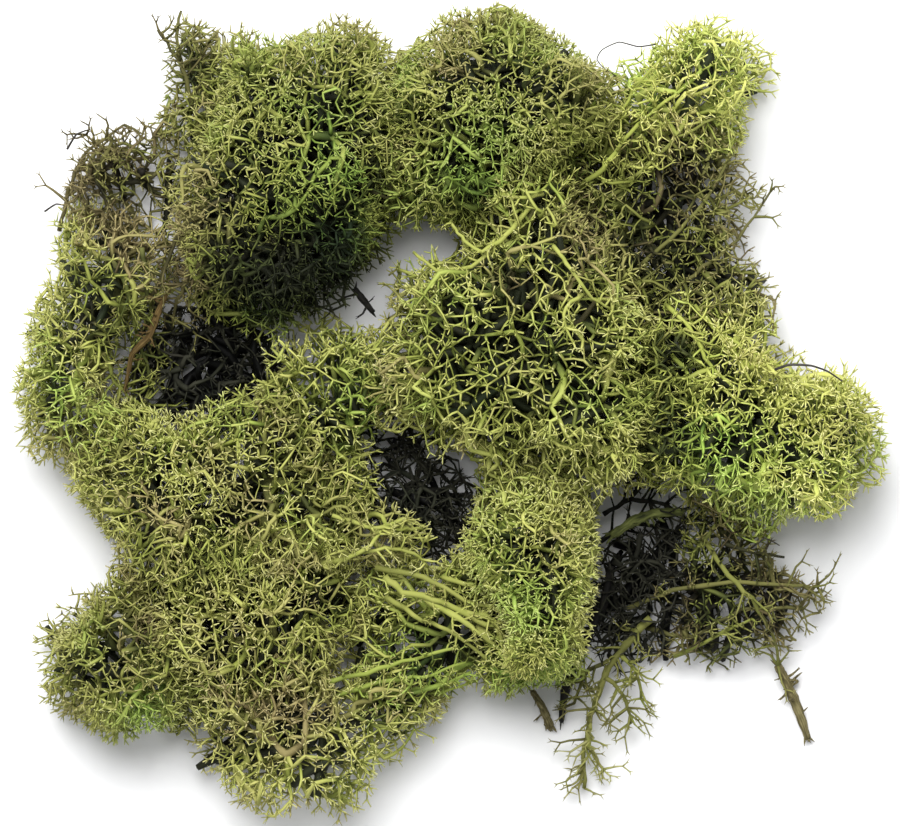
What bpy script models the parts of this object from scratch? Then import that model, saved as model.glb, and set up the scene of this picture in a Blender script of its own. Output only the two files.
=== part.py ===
"""Clump of preserved reindeer lichen, sold as moss: a handful of loose tufts and twigs that
have tangled into one flat-bottomed heap.

Metres, +Z up.  X runs along the longest side and the heap lies on its flat underside, so the
origin is the bottom centre of its box.  Every tuft is one closed dome that reaches to the tips
of its branches: its plan outline is drawn up ring by ring towards its crown and then smoothed.
Tufts stand side by side with a narrow gap, and the twigs and bare stalks lie between them.
"""
import bmesh
import bpy
from mathutils import Matrix, Vector

MM = 0.001

# Driving dimensions, in millimetres.
NEIGHBOUR_GAP = 1.2
CORNER_REACH = 1 / 6
FOOT_SPREAD = 0.93
RINGS = (
    # share of the height, share of the plan outline
    (0.22, 1.00),
    (0.60, 1.00),
    (0.88, 0.91),
    (1.00, 0.60),
)
SMOOTHING = 1
STALK_SIDES = 2

# Colours of the dyed lichen and of the dry wood, linear RGB.
FRESH = (0.26, 0.29, 0.07)
PALE = (0.36, 0.38, 0.13)
OLIVE = (0.15, 0.15, 0.05)
BROWN = (0.12, 0.10, 0.05)
BARK = (0.16, 0.09, 0.03)
BLACK = (0.02, 0.018, 0.015)

# Every tuft: height, crown (x, y), colour, and its plan outline, anticlockwise, in millimetres.
TUFTS = {
    "tuft_top_left": (45, (-33, 58), FRESH, (
        (-11, 57), (-10, 73), (-14, 83), (-24, 84), (-33, 80), (-45, 83), (-50, 73),
        (-51, 62), (-57, 53), (-59, 38), (-55, 22), (-43, 19), (-29, 20), (-15, 33), (-11, 44))),
    "tuft_top_middle": (43, (9, 68), OLIVE, (
        (28, 54), (34, 63), (31, 74), (21, 82), (9, 87), (-1, 82), (-10, 73),
        (-11, 57), (-11, 43), (2, 42), (12, 48))),
    "tuft_top_right": (35, (55, 69), PALE, (
        (61, 58), (69, 69), (65, 81), (52, 85), (43, 79), (35, 70), (34, 63), (28, 54), (44, 57))),
    "tuft_right_shaded": (25, (50, 40), BROWN, (
        (66, 19), (70, 29), (62, 37), (67, 48), (61, 58), (44, 57), (28, 54),
        (33, 41), (41, 29), (44, 19), (56, 24))),
    "tuft_middle": (52, (15, 19), FRESH, (
        (34, -16), (44, -14), (45, 0), (44, 19), (40, 29), (32, 41), (27, 53), (12, 48),
        (3, 34), (-8, 37), (-12, 24), (-16, 17), (-14, 0), (-3, -8), (12, -11))),
    "tuft_middle_left": (31, (-28, 4), PALE, (
        (-14, 0), (-16, 17), (-27, 18), (-38, 15), (-38, 5), (-31, -5), (-25, -19), (-15, -16))),
    "tuft_right": (42, (66, -2), PALE, (
        (70, -24), (80, -22), (90, -13), (94, -1), (86, 10), (72, 11), (66, 19), (56, 24), (44, 19),
        (45, 0), (44, -14), (57, -19))),
    "tuft_left": (33, (-76, 18), OLIVE, (
        (-75, -14), (-71, -4), (-70, 9), (-66, 16), (-62, 24), (-60, 38), (-70, 41), (-81, 43),
        (-85, 33), (-90, 20), (-94, 5), (-87, -9))),
    "tuft_low_left": (36, (-50, -14), FRESH, (
        (-21, -32), (-3, -27), (-11, -19), (-25, -19), (-31, -5), (-38, 5), (-52, 4), (-66, 3),
        (-71, -4), (-75, -14), (-74, -27), (-63, -36), (-43, -32))),
    "tuft_low_middle": (34, (-40, -44), FRESH, (
        (-21, -45), (-21, -33), (-43, -32), (-62, -36), (-58, -49), (-54, -61), (-43, -55),
        (-29, -52))),
    "tuft_corner": (31, (-71, -53), OLIVE, (
        (-54, -62), (-59, -49), (-63, -36), (-75, -36), (-85, -46), (-84, -57), (-76, -66),
        (-65, -70))),
    "tuft_bottom": (28, (-33, -65), BROWN, (
        (-15, -81), (-8, -69), (-4, -60), (-20, -55), (-29, -52), (-43, -55), (-54, -62),
        (-52, -73), (-45, -84), (-30, -82))),
    "tuft_side_on": (23, (-2, -46), FRESH, (
        (13, -49), (10, -39), (2, -33), (-19, -32), (-18, -45), (-20, -55), (-4, -60), (9, -55))),
    "tuft_ball": (42, (18, -36), FRESH, (
        (25, -55), (31, -41), (33, -28), (31, -19), (13, -13), (4, -18), (2, -33), (10, -39),
        (13, -49), (9, -55), (17, -58))),
    "tuft_in_shadow": (13, (-51, 12), OLIVE, (
        (-41, 6), (-41, 13), (-48, 18), (-58, 18), (-62, 12), (-60, 5), (-50, 5))),
    "sprig_left": (17, (-68, 52), BROWN, (
        (-60, 46), (-59, 56), (-63, 62), (-68, 63), (-76, 60), (-82, 52), (-79, 44), (-70, 43))),
    "sprig_top": (19, (-54, 72), OLIVE, (
        (-51, 64), (-52, 75), (-51, 82), (-55, 86), (-58, 81), (-56, 70), (-58, 61), (-55, 60))),
    "sprig_right": (16, (62, -38), BROWN, (
        (72, -50), (78, -42), (81, -36), (71, -33), (67, -26), (57, -21), (49, -25), (50, -34),
        (47, -42), (43, -52), (57, -56), (65, -51))),
    "sprig_bottom": (13, (32, -61), OLIVE, (
        (31, -80), (36, -73), (39, -62), (40, -54), (42, -49), (36, -48), (29, -56), (28, -66),
        (27, -80))),
    "sprig_dark": (9, (41, -37), BLACK, (
        (37, -46), (43, -46), (45, -38), (47, -29), (41, -28), (37, -33), (36, -40))),
    "tuft_in_hollow": (10, (-5, -16), OLIVE, (
        (-1, -24), (3, -19), (1, -13), (-6, -11), (-12, -9), (-12, -16), (-8, -22))),
}

# Every bare stalk or twig: thickest diameter, colour, and its route as (x, y, z, share of the
# thickest diameter), in millimetres.
STALKS = {
    "stem_brown": (2.2, BARK, (
        (-58.6, 25.0, 24, 0.6), (-60.6, 20.5, 23, 0.9), (-62.5, 15.5, 22, 1.0),
        (-66.0, 12.0, 20, 0.8), (-67.0, 8.0, 18, 0.6), (-67.8, 4.5, 16, 0.4))),
    "twig_black": (1.8, BLACK, (
        (-19.5, 25.5, 15, 0.9), (-17.5, 23.0, 14, 1.0), (-15.6, 20.6, 13, 0.7))),
    "stalk_dark": (2.4, BLACK, (
        (34.5, -33.0, 9, 0.7), (32.8, -42.0, 6, 0.9), (28.0, -51.0, 3.5, 1.0),
        (25.0, -59.5, 2.2, 0.9), (24.2, -66.0, 1.4, 0.5))),
    "stalk_short": (1.8, BARK, (
        (18.0, -59.5, 3.4, 0.7), (20.2, -63.0, 2.0, 0.9), (21.8, -67.0, 1.3, 1.0))),
    "stalk_green": (2.2, OLIVE, (
        (34.6, -26.5, 12, 0.8), (39.0, -23.6, 12, 1.0), (43.5, -21.8, 11, 1.0),
        (49.5, -21.5, 10, 0.8))),
    "stem_loose": (2.4, BARK, (
        (70.0, -54.0, 3.2, 0.8), (72.0, -58.0, 2.2, 0.9), (74.2, -63.0, 1.6, 1.0),
        (76.4, -69.5, 1.3, 0.6))),
}


def principled(name, colour, roughness=0.85):
    """A matt, dry surface of one colour."""
    material = bpy.data.materials.new(name)
    material.use_nodes = True
    shader = material.node_tree.nodes["Principled BSDF"]
    shader.inputs["Base Color"].default_value = (*colour, 1.0)
    shader.inputs["Roughness"].default_value = roughness
    shader.inputs["Metallic"].default_value = 0.0
    return material


def add_piece(name, data, colour, collection):
    """An object for one piece, with its own material."""
    piece = bpy.data.objects.new(name, data)
    data.materials.append(principled(name, colour))
    collection.objects.link(piece)
    return piece


def cage_corners(outline):
    """Corners moved out, because the smoothing pulls them back in."""
    corners = []
    for index, (x, y) in enumerate(outline):
        before, after = outline[index - 1], outline[(index + 1) % len(outline)]
        corners.append((
            x + (x - (before[0] + after[0]) / 2) * CORNER_REACH,
            y + (y - (before[1] + after[1]) / 2) * CORNER_REACH))
    return corners


def make_tuft(name, height, crown, colour, outline, collection):
    """One tuft: a flat foot, drawn up towards the crown in rings and smoothed, foot kept flat."""
    shape = bmesh.new()
    foot = shape.faces.new(
        [shape.verts.new((x * MM, y * MM, 0.0)) for x, y in cage_corners(outline)])
    foot.normal_update()
    rim = bmesh.ops.inset_region(
        shape, faces=[foot], thickness=NEIGHBOUR_GAP / 2 * MM, use_boundary=True,
        use_even_offset=True)
    bmesh.ops.delete(shape, geom=rim["faces"], context="FACES")
    foot = shape.faces[:][0]
    centre = Matrix.Translation((-crown[0] * MM, -crown[1] * MM, 0.0))
    spread_so_far, risen = FOOT_SPREAD, 0.0
    bmesh.ops.scale(
        shape, vec=(FOOT_SPREAD, FOOT_SPREAD, 1.0), space=centre, verts=foot.verts)
    top = foot
    for rise, spread in RINGS:
        covered = top
        drawn = bmesh.ops.extrude_face_region(shape, geom=[covered])["geom"]
        top = next(item for item in drawn if isinstance(item, bmesh.types.BMFace))
        if covered is not foot:
            bmesh.ops.delete(shape, geom=[covered], context="FACES_ONLY")
        grow = spread / spread_so_far
        bmesh.ops.scale(shape, vec=(grow, grow, 1.0), space=centre, verts=top.verts)
        bmesh.ops.translate(shape, vec=(0.0, 0.0, (rise - risen) * height * MM), verts=top.verts)
        spread_so_far, risen = spread, rise
    sharp = shape.edges.layers.float.new("crease_edge")
    for edge in shape.edges:
        if all(corner.co.z == 0.0 for corner in edge.verts):
            edge[sharp] = 1.0
    bmesh.ops.recalc_face_normals(shape, faces=shape.faces)
    mesh = bpy.data.meshes.new(name)
    shape.to_mesh(mesh)
    shape.free()
    mesh.shade_smooth()
    piece = add_piece(name, mesh, colour, collection)
    smooth = piece.modifiers.new("Smooth", "SUBSURF")
    smooth.levels = SMOOTHING
    smooth.render_levels = SMOOTHING
    return piece


def make_stalk(name, diameter, colour, route, collection):
    """One bare stalk: a round, tapering tube along its route, closed at both ends."""
    curve = bpy.data.curves.new(name, "CURVE")
    curve.dimensions = "3D"
    curve.bevel_depth = diameter / 2 * MM
    curve.bevel_resolution = STALK_SIDES
    curve.use_fill_caps = True
    line = curve.splines.new("POLY")
    line.points.add(len(route) - 1)
    for point, (x, y, z, share) in zip(line.points, route):
        point.co = (x * MM, y * MM, z * MM, 1.0)
        point.radius = share
    line.use_smooth = True
    return add_piece(name, curve, colour, collection)


def centre_on_box(pieces):
    """Moves the clump so that the middle of its box, seen from above, is the origin."""
    bpy.context.view_layer.update()
    graph = bpy.context.evaluated_depsgraph_get()
    corners = []
    for piece in pieces:
        evaluated = piece.evaluated_get(graph)
        mesh = evaluated.to_mesh()
        corners += [piece.matrix_world @ vertex.co for vertex in mesh.vertices]
        evaluated.to_mesh_clear()
    low = Vector(min(corner[axis] for corner in corners) for axis in range(3))
    high = Vector(max(corner[axis] for corner in corners) for axis in range(3))
    for piece in pieces:
        piece.location.x -= (low.x + high.x) / 2
        piece.location.y -= (low.y + high.y) / 2


def main():
    for leftover in list(bpy.data.objects):
        bpy.data.objects.remove(leftover, do_unlink=True)
    clump = bpy.data.collections.new("moss_clump")
    bpy.context.scene.collection.children.link(clump)
    pieces = []
    for name, (height, crown, colour, outline) in TUFTS.items():
        pieces.append(make_tuft(name, height, crown, colour, outline, clump))
    for name, (diameter, colour, route) in STALKS.items():
        pieces.append(make_stalk(name, diameter, colour, route, clump))
    centre_on_box(pieces)


main()
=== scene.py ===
import heapq

import bmesh
import bpy
import numpy as np
from mathutils import Matrix, Vector, kdtree, noise
from mathutils.bvhtree import BVHTree


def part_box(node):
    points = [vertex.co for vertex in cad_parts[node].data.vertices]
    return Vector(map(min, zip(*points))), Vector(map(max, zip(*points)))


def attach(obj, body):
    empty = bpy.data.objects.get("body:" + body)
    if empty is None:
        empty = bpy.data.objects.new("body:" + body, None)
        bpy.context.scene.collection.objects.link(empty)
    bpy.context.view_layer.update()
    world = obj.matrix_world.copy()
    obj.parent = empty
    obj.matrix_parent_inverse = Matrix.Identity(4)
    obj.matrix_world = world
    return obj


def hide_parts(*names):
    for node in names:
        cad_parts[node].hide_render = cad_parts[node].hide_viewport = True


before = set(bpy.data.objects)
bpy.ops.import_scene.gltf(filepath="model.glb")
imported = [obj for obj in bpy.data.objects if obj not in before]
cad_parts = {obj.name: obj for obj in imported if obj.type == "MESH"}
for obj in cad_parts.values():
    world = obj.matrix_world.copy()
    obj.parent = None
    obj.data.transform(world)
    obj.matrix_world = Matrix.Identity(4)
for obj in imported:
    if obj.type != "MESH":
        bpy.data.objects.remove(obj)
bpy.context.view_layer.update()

mm = 0.001


# ---- The middle tuft ----
# The largest and highest tuft: reindeer lichen that was dyed green and kept soft. It has no
# leaves. Hollow round branches fork in every direction into an open, springy net, and end in
# stars of short points. It lies on the others by its own tangle, and nothing holds it.

def unit(vectors):
    """The same vectors at length one."""
    return vectors / np.maximum(np.linalg.norm(vectors, axis=-1, keepdims=True), 1e-12)


def swayed(ways, amount, draw):
    """The same ways, each turned a little at random."""
    return unit(ways + draw.normal(0, amount, ways.shape))


def across(ways, draw):
    """A random way at right angles to each way."""
    return unit(np.cross(ways, draw.normal(0, 1, ways.shape)))


def tree_of(points):
    """A tree for finding near points."""
    tree = kdtree.KDTree(len(points))
    for number, point in enumerate(points.tolist()):
        tree.insert(point, number)
    tree.balance()
    return tree


def nearest(tree, points):
    """For each point, the number of the nearest one in the tree, and how far off it is."""
    found = [tree.find(point) for point in points.tolist()]
    return np.array([item[1] for item in found]), np.array([item[2] for item in found])


def spaced(points, gaps, draw):
    """Numbers of the points that are left when each one kept clears its gap around it."""
    tree = tree_of(points)
    free = np.ones(len(points), bool)
    kept = []
    for number in draw.permutation(len(points)):
        if free[number]:
            kept.append(number)
            for _, near, _ in tree.find_range(points[number], gaps[number]):
                free[near] = False
    return np.array(kept)


def drift(size, draw):
    """A smooth random function of points, mostly from -1 to 1, that changes over size."""
    waves = draw.normal(0, 2 / size, (7, 3))
    shift = draw.uniform(0, 2 * np.pi, 7)
    return lambda points: np.cos(points @ waves.T + shift).sum(1) / 2


def spots_at(points, spots):
    """The sum of round soft spots, each given as x, y and reach in mm, and its amount."""
    total = np.zeros(len(points))
    for x, y, reach, amount in spots:
        off = np.hypot(points[:, 0] - x * mm, points[:, 1] - y * mm) / (reach * mm)
        total += amount * np.exp(-off ** 2)
    return total


class Skin:
    """The surface of some CAD solids, all but the flat feet that they lie on."""

    def __init__(self, nodes):
        corners = []
        for node in nodes:
            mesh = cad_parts[node].data
            mesh.calc_loop_triangles()
            places = np.array([corner.co for corner in mesh.vertices])
            corners.append(places[np.array([face.vertices[:] for face in mesh.loop_triangles])])
        corners = np.concatenate(corners)
        self.corners = corners[corners[:, :, 2].max(1) > 0.1 * mm]
        number = np.arange(self.corners.size // 3).reshape(-1, 3)
        self.tree = BVHTree.FromPolygons(self.corners.reshape(-1, 3).tolist(), number.tolist())

    def outside(self, points):
        """How far each point lies outside, less than nothing inside."""
        found = [self.tree.find_nearest(point) for point in points.tolist()]
        spots = np.array([item[0] for item in found])
        facing = np.array([item[1] for item in found])
        side = np.where(((points - spots) * facing).sum(1) > 0, 1, -1)
        return side * np.array([item[3] for item in found])

    def scatter(self, number, draw):
        """Points spread evenly over the surface, and the way that it faces there."""
        a, b, c = np.moveaxis(self.corners, 1, 0)
        normal = np.cross(b - a, c - a)
        area = np.linalg.norm(normal, axis=1)
        pick = draw.choice(len(area), number, p=area / area.sum())
        s, t = draw.random((2, number, 1))
        s, t = np.where(s + t > 1, 1 - s, s), np.where(s + t > 1, 1 - t, t)
        return a[pick] + s * (b - a)[pick] + t * (c - a)[pick], unit(normal)[pick]


map_width = 0.005        # how much room each ring of a strand takes in the map
lowest = 0.05 * mm       # nothing is lower than this over the table


class Strands:
    """Round, tapering strands that are joined in one mesh, with a map of age and tint."""

    def __init__(self):
        self.places, self.shades, self.corners, self.sizes = [], [], [], []
        self.total = 0

    def add(self, line, radius, age_and_shade, tint, sides):
        """line holds (strand, point, xyz), radius and age (strand, point), tint (strand)."""
        strands, points = line.shape[:2]
        if not strands:
            return
        along = unit(np.gradient(line, axis=1))
        seat = np.eye(3)[np.abs(along.sum(1)).argmin(1)][:, None]
        first = unit(seat - (seat * along).sum(2, keepdims=True) * along)
        second = np.cross(along, first)
        turn = 2 * np.pi * np.arange(sides) / sides
        circle = (np.cos(turn)[:, None] * first[:, :, None]
                  + np.sin(turn)[:, None] * second[:, :, None])
        rings = line[:, :, None] + radius[:, :, None, None] * circle
        self.places.append(rings.reshape(-1, 3))
        u = age_and_shade[:, :, None] + map_width * np.cos(turn)
        v = tint[:, None, None] + map_width * np.sin(turn) + 0 * u
        self.shades.append(np.stack([u, v], -1).reshape(-1, 2))
        number = np.arange(strands * points * sides).reshape(strands, points, sides) + self.total
        after = np.roll(number, -1, 2)
        walls = np.stack([number[:, :-1], after[:, :-1], after[:, 1:], number[:, 1:]], -1)
        self.corners.append(walls.ravel())
        self.sizes.append(np.full(walls.size // 4, 4))
        ends = np.concatenate([number[:, 0, ::-1], number[:, -1]])
        self.corners.append(ends.ravel())
        self.sizes.append(np.full(len(ends), sides))
        self.total += number.size

    def add_points(self, base, tip, radius, age_and_shade, tint):
        """Short three-sided points; age holds (point, base and tip), and tint (point)."""
        radius = np.full(len(base), radius)[:, None, None]
        along = unit(tip - base)
        seat = np.eye(3)[np.abs(along).argmin(1)]
        first = unit(np.cross(seat, along))
        second = np.cross(along, first)
        turn = 2 * np.pi * np.arange(3) / 3
        ring = base[:, None] + radius * (
            np.cos(turn)[:, None] * first[:, None] + np.sin(turn)[:, None] * second[:, None])
        self.places.append(np.concatenate([ring, tip[:, None]], 1).reshape(-1, 3))
        u = age_and_shade[:, (0, 0, 0, 1)] + map_width * np.array([1.0, -0.5, -0.5, 0.0])
        v = tint[:, None] + map_width * np.array([0.0, 0.87, -0.87, 0.0])
        self.shades.append(np.stack([u, v], -1).reshape(-1, 2))
        number = np.arange(len(base))[:, None] * 4 + self.total
        faces = np.array([(0, 1, 3), (1, 2, 3), (2, 0, 3), (0, 2, 1)])
        self.corners.append((number[:, :, None] + faces).ravel())
        self.sizes.append(np.full(4 * len(base), 3))
        self.total += 4 * len(base)

    def mesh(self, name):
        """All the strands as one mesh that rests on the table."""
        places = np.concatenate(self.places)
        places[:, 2] = np.maximum(places[:, 2], lowest)
        shades = np.clip(np.concatenate(self.shades), 0.01, 0.99)
        corners = np.concatenate(self.corners)
        sizes = np.concatenate(self.sizes)
        mesh = bpy.data.meshes.new(name)
        mesh.vertices.add(len(places))
        mesh.vertices.foreach_set("co", places.ravel())
        mesh.loops.add(len(corners))
        mesh.loops.foreach_set("vertex_index", corners)
        mesh.polygons.add(len(sizes))
        mesh.polygons.foreach_set("loop_start", np.cumsum(sizes) - sizes)
        mesh.update(calc_edges=True)
        mesh.uv_layers.new(name="OFBake")
        mesh.uv_layers["OFBake"].uv.foreach_set("vector", shades[corners].ravel())
        return mesh


def shaken_grid(low, high, gap, draw):
    """Points that fill a box about one gap apart, in no order that shows."""
    steps = [np.arange(start, end + gap, gap) for start, end in zip(low, high)]
    grid = np.stack(np.meshgrid(*steps, indexing="ij"), -1).reshape(-1, 3)
    return grid + draw.uniform(-0.45, 0.45, grid.shape) * gap


def shortest_ways(points, root, gap, draw):
    """For every point, the next one on its way to the root, and how far it has to go."""
    tree = tree_of(points)
    start = tree.find(root)[1]
    far = np.full(len(points), np.inf)
    before = np.full(len(points), -1)
    far[start] = 0
    waiting = [(0.0, start)]
    done = np.zeros(len(points), bool)
    places = points.tolist()
    luck = np.exp(draw.normal(0, 0.7, (len(points), 12)))
    while waiting:
        distance, here = heapq.heappop(waiting)
        if done[here]:
            continue
        done[here] = True
        for turn, (_, there, step) in enumerate(tree.find_n(places[here], 12)):
            if not done[there] and step < 2.2 * gap:
                total = distance + step * luck[here, turn]
                if total < far[there]:
                    far[there] = total
                    before[there] = here
                    heapq.heappush(waiting, (total, there))
    return before, far


def bent(start, leave, end, arrive, points):
    """Smooth lines from start to end that leave and arrive along the given directions."""
    t = np.linspace(0, 1, points)[:, None]
    reach = np.linalg.norm(end - start, axis=1)[:, None, None]
    start, end = start[:, None], end[:, None]
    leave, arrive = leave[:, None] * reach, arrive[:, None] * reach
    return ((2 * t**3 - 3 * t**2 + 1) * start + (t**3 - 2 * t**2 + t) * leave
            + (3 * t**2 - 2 * t**3) * end + (t**3 - t**2) * arrive)


def smooth_through(knots, leave):
    """Lines through each row of knots, with one more point between two knots."""
    stiffness = 13           # 8 is the smoothest, and more bends less
    ahead = np.empty_like(knots)
    ahead[:, 1:-1] = (knots[:, 2:] - knots[:, :-2]) / 2
    ahead[:, 0] = leave
    ahead[:, -1] = knots[:, -1] - knots[:, -2]
    line = np.empty((len(knots), 2 * knots.shape[1] - 1, 3))
    line[:, ::2] = knots
    line[:, 1::2] = (knots[:, :-1] + knots[:, 1:]) / 2
    line[:, 1::2] += (ahead[:, :-1] - ahead[:, 1:]) / stiffness
    return line


def smoothed(route, times):
    """One smooth line through a route in mm, with twice as many points each time."""
    line = np.array([route], float) * mm
    for _ in range(times):
        line = smooth_through(line, line[:, 1] - line[:, 0])
    return line


def halfway(values):
    """A row of values with the mean of two neighbours set between them."""
    row = np.empty((len(values), 2 * values.shape[1] - 1))
    row[:, ::2] = values
    row[:, 1::2] = (values[:, :-1] + values[:, 1:]) / 2
    return row


def add_stem(strands, draw, width, age_and_shade, tint, twigs, reach, route):
    """A thicker stem along a route in mm, with forked twigs on its sides, all in mm."""
    line = smoothed(route, 2)
    points = line.shape[1]
    line[:, 1:-1] += draw.normal(0, 0.18 * mm, (1, points - 2, 3))
    radius = width / 2 * np.linspace(1.0, 0.55, points) * draw.uniform(0.85, 1.15, points)
    tone = age_and_shade + draw.normal(0, 0.04, (1, points))
    strands.add(line, radius[None] * mm, tone, np.array([tint]), 6)
    at = draw.integers(2, points, twigs)
    start = line[0, at]
    ahead = unit(np.gradient(line[0], axis=0))[at]
    way = across(ahead, draw)
    way[:, 2] = np.abs(way[:, 2])
    way = unit(way + 0.5 * ahead)
    size = reach * mm * draw.uniform(0.4, 1.2, (twigs, 1))
    end = start + size * way
    bow = swayed(way, 0.45, draw)
    taper = np.array([0.32, 0.27, 0.23, 0.20]) * draw.uniform(0.85, 1.15, (twigs, 1))
    old = age_and_shade + draw.normal(0, 0.05, (twigs, 1))
    tone = old + np.array([0.0, 0.04, 0.08, 0.12])
    shade = tint + draw.normal(0, 0.06, twigs)
    strands.add(bent(start, way, end, bow, 4), taper * mm, tone, shade, 4)
    beside = across(bow, draw)
    for turn in (-1, 1):
        leave = unit(bow + turn * 0.75 * beside)
        tip = end + leave * size * draw.uniform(0.3, 0.6, (twigs, 1))
        strands.add(bent(end, leave, tip, leave, 2), np.array([[0.20, 0.16]] * twigs) * mm,
                    old + np.array([0.12, 0.20]), shade, 3)
        side = across(leave, draw)
        for lean in (-0.7, 0.7):
            strands.add_points(tip, tip + 1.3 * mm * unit(leave + lean * side), 0.17 * mm,
                               old + np.array([0.20, 0.30]), shade)
    some = draw.random(twigs) < 0.7
    middle = (start + 0.5 * size * way)[some]
    strands.add_points(middle, middle + 1.4 * mm * unit(way - 1.2 * beside)[some], 0.19 * mm,
                       (old + np.array([0.1, 0.2]))[some], shade[some])


tuft_nodes = [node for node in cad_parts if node.startswith(("tuft", "sprig"))]
low_nodes = ("tuft_in_hollow", "tuft_in_shadow", "sprig_dark")


def lichen(node, root, seed, gap=3.12, star_gap=2.2, prong=1.5, heads=14, crevice=3.5, thick=1.0,
           swell=1.0, join=7.0, lumps=1.5, deep_share=0.3, tint=0.5, patches=(), dim=(), dense=(),
           bare=(), stems=()):
    """One tuft: a net of branches that fills its CAD solid, with stars over its skin.

    Lengths are in mm: gap lies between two knots of the net, star_gap between two stars, prong
    is a star's reach, and heads the room of one head, with creases as deep as crevice. The skin
    lies past the solid by swell, unevenly by lumps, and by join near a neighbour, and deep_share
    of the stars lie under it. Spots change the tint (patches), paint shade on the branches, or
    paint light where the amount is negative (dim), and draw the stars together (dense)
    or clear them away (bare).
    """
    draw = np.random.default_rng(seed)
    root = np.array(root) * mm
    gap, star_gap = gap * mm, star_gap * mm
    low, high = (np.array(corner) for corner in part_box(node))
    skin = Skin([node])
    others = Skin([other for other in tuft_nodes if other not in (node, *low_nodes)])

    # The surface swells into heads with creases between them, and meets its neighbours.
    samples, trials = 26000, 2500
    surface, face = skin.scatter(samples, draw)
    centres = surface[spaced(surface[:trials], np.full(trials, heads * mm), draw)]
    head_tree = tree_of(centres)
    head_radius = 0.62 * heads * mm
    crown = 0.3              # the share of a head's radius that no crease cuts into
    meeting = 8 * mm         # how near a neighbour has to be to be joined
    lump = drift(9 * mm, draw)

    def limit(points):
        """How far out of the solid the tuft may reach, and which head a point is in."""
        head, off = nearest(head_tree, points)
        reach = (swell - crevice * np.minimum(off / head_radius - crown, 1.0).clip(0) ** 1.5) * mm
        reach += lumps * lump(points).clip(-1.2, 2) * mm
        reach += join * mm * np.clip(1.15 - others.outside(points) / meeting, 0, 1)
        return reach, head

    # The net's knots: close together near the surface, and further apart deep inside.
    edge, deep = 0.9 * mm, 7.5 * mm
    knots = []
    for spread, least, most in ((1.0, edge, deep), (1.5, deep, np.inf)):
        spots = shaken_grid(low - join * mm, high + join * mm, gap * spread, draw)
        spots = spots[spots[:, 2] > edge]
        out = skin.outside(spots)
        spots = spots[out < join * mm]
        depth = limit(spots)[0] - out[out < join * mm]
        knots.append(np.column_stack([spots, depth])[(depth > least) & (depth < most)])
    knots = np.concatenate(knots)
    knots, depth = knots[:, :3], knots[:, 3]
    before, far = shortest_ways(knots, root, gap, draw)
    joined = np.isfinite(far)

    # The hubs of the stars, few on the flanks and none underneath.
    reach, head = limit(surface)
    tips = surface + face * reach[:, None]
    facing = unit(0.75 * face + 0.45 * (tips - centres[head]) / (heads * mm)
                  + 0.2 * unit(tips - root))
    shown = np.clip(0.35 + face[:, 2], 0, 1)
    gaps = star_gap * (1.0 + 0.55 * (1 - shown) ** 2)
    gaps *= (1 + 0.25 * drift(12 * mm, draw)(tips).clip(-1, 1)) * (1 - spots_at(tips, dense))
    fit = (face[:, 2] > -0.3) & (tips[:, 2] > 1.2 * mm)
    for x, y, size in bare:
        off = np.hypot(tips[:, 0] - x * mm, tips[:, 1] - y * mm)
        fit &= off > size * mm * draw.uniform(0.8, 1.15, len(tips))
    tips, facing, gaps = tips[fit], facing[fit], gaps[fit]
    sunk = (draw.random(len(tips)) < deep_share) * draw.uniform(1.0, 5.5, len(tips)) * mm
    tips = tips - facing * sunk[:, None]
    kept = spaced(tips, gaps, draw)
    tips, facing, sunk = tips[kept], facing[kept], sunk[kept]
    hubs = tips - facing * prong * mm * 0.7

    # Each hub's arm leaves the nearest knot.
    arm_depth = 1.6 * mm
    places = np.flatnonzero(joined)
    owner = places[nearest(tree_of(knots[places]), hubs - facing * arm_depth)[0]]
    length = np.linalg.norm(hubs - knots[owner], axis=1)
    fit = (length < 2.4 * gap) & (length > 0.5 * mm)
    hubs, facing, sunk, owner = hubs[fit], facing[fit], sunk[fit], owner[fit]

    # The parents' list of knots and hubs together, and how many tips each one feeds.
    all_points = np.concatenate([knots, hubs])
    parent = np.concatenate([before, owner])
    order = np.concatenate([np.arange(len(knots), len(all_points)),
                            np.array([n for n in np.argsort(-far) if joined[n]], int)])
    feeds = np.zeros(len(all_points))
    largest = np.zeros(len(all_points))
    main = np.full(len(all_points), -1)
    forks = np.zeros(len(all_points), int)
    below = np.concatenate([depth, sunk])
    unseen = 5.5 * mm
    for here in order.tolist():
        if feeds[here] == 0:
            if here < len(knots) and below[here] > unseen:
                continue              # a dead end that is too deep to be seen
            feeds[here] = 1
        up = parent[here]
        if up >= 0:
            feeds[up] += feeds[here]
            forks[up] += 1
            if feeds[here] > largest[up]:
                largest[up], main[up] = feeds[here], here
    twig, trunk, hub = 0.215, 0.9, 0.185
    bore = np.minimum(twig * np.maximum(feeds, 1) ** 0.30, trunk) * thick
    bore *= np.exp(draw.normal(0, 0.10, len(bore)))
    bore *= np.where(forks > 1, 1.12, 1.0)
    bore[len(knots):] = hub * thick

    # Tint: 0 is brown, the middle is olive and 1 is a vivid green. Age: 1 is a fresh tip. Age also
    # falls with depth under the skin, for the older inner wood and as painted shade deep in the
    # tuft, and the dim spots darken it as painted shade, or lighten it as painted light.
    head = nearest(head_tree, all_points)[0]
    shade = tint + draw.normal(0, 0.08, len(centres))[head] + spots_at(all_points, patches)
    shade += 0.10 * drift(7 * mm, draw)(all_points) + draw.normal(0, 0.05, len(all_points))
    fresh_and_lit_depth = 2.2
    age_and_shade = 0.80 - 0.10 * np.maximum(below / mm - fresh_and_lit_depth, 0) - spots_at(all_points, dim)
    age_and_shade += 0.04 * drift(5 * mm, draw)(all_points) + draw.normal(0, 0.04, len(below))
    age_and_shade = np.clip(age_and_shade, 0.05, 0.85)

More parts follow.
